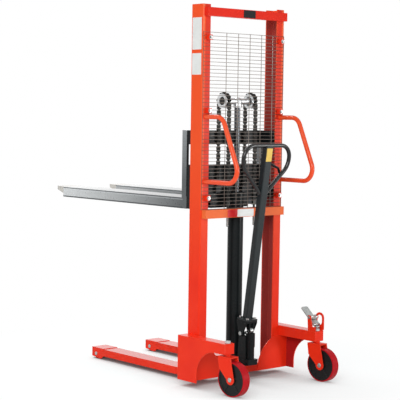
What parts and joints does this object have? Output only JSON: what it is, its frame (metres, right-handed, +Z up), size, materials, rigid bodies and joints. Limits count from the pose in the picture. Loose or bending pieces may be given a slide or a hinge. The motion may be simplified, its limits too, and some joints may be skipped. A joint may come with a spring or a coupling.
{
  "type": "hand pallet stacker",
  "caption": "Hand pallet stacker: a mast on straddle legs and swivel casters, with a hand pump and tiller that lift a fork carriage by ram and chain.",
  "frame": {"origin": "on the floor under the middle of the whole", "axes": "+Z up, forks towards +Y, +X to the operator's right"},
  "size_m": [0.7252, 1.7612, 2],
  "materials": {
    "red_paint": "gloss",
    "black_paint": "gloss",
    "fork_paint": "satin",
    "zinc_steel": "satin",
    "chrome_rod": "polished",
    "pulley_steel": "satin",
    "chain_steel": "oiled",
    "roller_steel": "satin",
    "wheel_plastic": "matte",
    "polyurethane": "satin"
  },
  "bodies": {
    "chassis": {"mast_column_left": "red_paint", "mast_column_right": "red_paint", "top_crossbar": "red_paint", "middle_crossbar": "red_paint", "base_beam": "red_paint", "side_plates": "red_paint", "caster_arms": "red_paint", "wheel_arches": "red_paint", "leg_left": "red_paint", "leg_right": "red_paint", "hand_grips": "red_paint", "guard_net": "zinc_steel", "guard_clamps": "red_paint", "guard_bolts": "zinc_steel", "lift_cylinder": "black_paint", "cylinder_gland": "black_paint", "cylinder_clamp": "black_paint", "pump_block": "black_paint", "pump_barrel": "black_paint", "pivot_lugs": "black_paint", "rear_anchors": "chain_steel", "chain_rear": "chain_steel", "brake_bracket": "red_paint", "kingpin_bushes": "zinc_steel", "pivot_pins": "zinc_steel"},
    "ram": {"ram_rod": "chrome_rod", "crosshead": "zinc_steel", "pulley_axle": "zinc_steel", "chain_wraps": "chain_steel"},
    "pulley_left": {"pulley_left": "pulley_steel"},
    "pulley_right": {"pulley_right": "pulley_steel"},
    "carriage": {"carriage_top_bar": "black_paint", "carriage_lower_plate": "black_paint", "hanger_plates": "black_paint", "roller_brackets": "black_paint", "fork_left": "fork_paint", "fork_right": "fork_paint", "chain_front": "chain_steel"},
    "upper_roller_left": {"upper_roller_left": "roller_steel"},
    "upper_roller_right": {"upper_roller_right": "roller_steel"},
    "lower_roller_left": {"lower_roller_left": "roller_steel"},
    "lower_roller_right": {"lower_roller_right": "roller_steel"},
    "tiller": {"tiller_shaft": "black_paint", "tiller_loop": "black_paint", "rocker": "black_paint", "tiller_bolts": "zinc_steel"},
    "pump_roller": {"pump_roller": "zinc_steel"},
    "release_lever": {"release_lever": "black_paint"},
    "pump_plunger": {"pump_plunger": "chrome_rod"},
    "caster_left": {"caster_yoke_left": "red_paint"},
    "caster_right": {"caster_yoke_right": "red_paint"},
    "wheel_left": {"wheel_core_left": "wheel_plastic", "wheel_tread_left": "polyurethane"},
    "wheel_right": {"wheel_core_right": "wheel_plastic", "wheel_tread_right": "polyurethane"},
    "load_roller_left": {"load_roller_left": "polyurethane"},
    "load_roller_right": {"load_roller_right": "polyurethane"},
    "brake_pedal": {"brake_pedal": "zinc_steel"},
    "brake_rod": {"brake_rod": "zinc_steel"}
  },
  "joints": [
    {"name": "ram_lift", "type": "slide", "parent": "chassis", "child": "ram", "axis": [0, 0, 1], "range_m": [-0.4475, 0.3075], "deforming": ["chain_rear"]},
    {"name": "carriage_lift", "type": "slide", "parent": "ram", "child": "carriage", "axis": [0, 0, 1], "range_m": [-0.4475, 0.3075], "deforming": ["chain_front"]},
    {"name": "pulley_left_turn", "type": "hinge", "parent": "ram", "child": "pulley_left", "pos_m": [-0.096, -0.43388, 1.5], "axis": [1, 0, 0], "continuous": true},
    {"name": "upper_roller_left_turn", "type": "hinge", "parent": "carriage", "child": "upper_roller_left", "pos_m": [-0.2655, -0.43638, 1.306], "axis": [1, 0, 0], "continuous": true},
    {"name": "lower_roller_left_turn", "type": "hinge", "parent": "carriage", "child": "lower_roller_left", "pos_m": [-0.2655, -0.43638, 1.015], "axis": [1, 0, 0], "continuous": true},
    {"name": "pulley_right_turn", "type": "hinge", "parent": "ram", "child": "pulley_right", "pos_m": [0.096, -0.43388, 1.5], "axis": [1, 0, 0], "continuous": true},
    {"name": "upper_roller_right_turn", "type": "hinge", "parent": "carriage", "child": "upper_roller_right", "pos_m": [0.2655, -0.43638, 1.306], "axis": [1, 0, 0], "continuous": true},
    {"name": "lower_roller_right_turn", "type": "hinge", "parent": "carriage", "child": "lower_roller_right", "pos_m": [0.2655, -0.43638, 1.015], "axis": [1, 0, 0], "continuous": true},
    {"name": "tiller_pump", "type": "hinge", "parent": "chassis", "child": "tiller", "pos_m": [0, -0.52938, 0.262], "axis": [1, 0, 0], "range_deg": [0, 45], "stiffness_Nm_per_rad": 40, "springref_deg": -34.38},
    {"name": "pump_stroke", "type": "slide", "parent": "chassis", "child": "pump_plunger", "axis": [0, 0, -1], "range_m": [0, 0.03043]},
    {"name": "pump_roller_turn", "type": "hinge", "parent": "tiller", "child": "pump_roller", "pos_m": [0, -0.56538, 0.2783], "axis": [1, 0, 0], "continuous": true},
    {"name": "release_pull", "type": "hinge", "parent": "tiller", "child": "release_lever", "pos_m": [0, -0.64776, 1.19468], "axis": [0, 0.9895, 0.1444], "range_deg": [0, 18], "stiffness_Nm_per_rad": 0.8, "springref_deg": -22.92},
    {"name": "caster_left_swivel", "type": "hinge", "parent": "chassis", "child": "caster_left", "pos_m": [-0.326, -0.74338, 0.203], "axis": [0, 0, 1], "continuous": true},
    {"name": "wheel_left_roll", "type": "hinge", "parent": "caster_left", "child": "wheel_left", "pos_m": [-0.32199, -0.78921, 0.09], "axis": [0.9962, 0.0872, 0], "continuous": true},
    {"name": "load_roller_left_roll", "type": "hinge", "parent": "chassis", "child": "load_roller_left", "pos_m": [-0.1995, 0.46962, 0.03], "axis": [1, 0, 0], "continuous": true},
    {"name": "caster_right_swivel", "type": "hinge", "parent": "chassis", "child": "caster_right", "pos_m": [0.326, -0.74338, 0.203], "axis": [0, 0, 1], "continuous": true},
    {"name": "wheel_right_roll", "type": "hinge", "parent": "caster_right", "child": "wheel_right", "pos_m": [0.33001, -0.78921, 0.09], "axis": [0.9962, 0.0872, 0], "continuous": true},
    {"name": "load_roller_right_roll", "type": "hinge", "parent": "chassis", "child": "load_roller_right", "pos_m": [0.1995, 0.46962, 0.03], "axis": [1, 0, 0], "continuous": true},
    {"name": "brake_press", "type": "hinge", "parent": "chassis", "child": "brake_pedal", "pos_m": [0.326, -0.71238, 0.34], "axis": [1, 0, 0], "range_deg": [0, 13.5]},
    {"name": "brake_rod_drop", "type": "slide", "parent": "chassis", "child": "brake_rod", "axis": [0, 0, -1], "range_m": [0, 0.00516]}
  ],
  "couplings": [
    {"joint": "carriage_lift", "follows": "ram_lift", "ratio": 1},
    {"joint": "pulley_left_turn", "follows": "ram_lift", "rad_per_m": 24.814},
    {"joint": "upper_roller_left_turn", "follows": "ram_lift", "rad_per_m": -51.948},
    {"joint": "lower_roller_left_turn", "follows": "ram_lift", "rad_per_m": 51.948},
    {"joint": "pulley_right_turn", "follows": "ram_lift", "rad_per_m": 24.814},
    {"joint": "upper_roller_right_turn", "follows": "ram_lift", "rad_per_m": -51.948},
    {"joint": "lower_roller_right_turn", "follows": "ram_lift", "rad_per_m": 51.948},
    {"joint": "pump_stroke", "follows": "tiller_pump", "m_per_rad": 0.03849},
    {"joint": "brake_rod_drop", "follows": "brake_press", "m_per_rad": 0.021057}
  ]
}
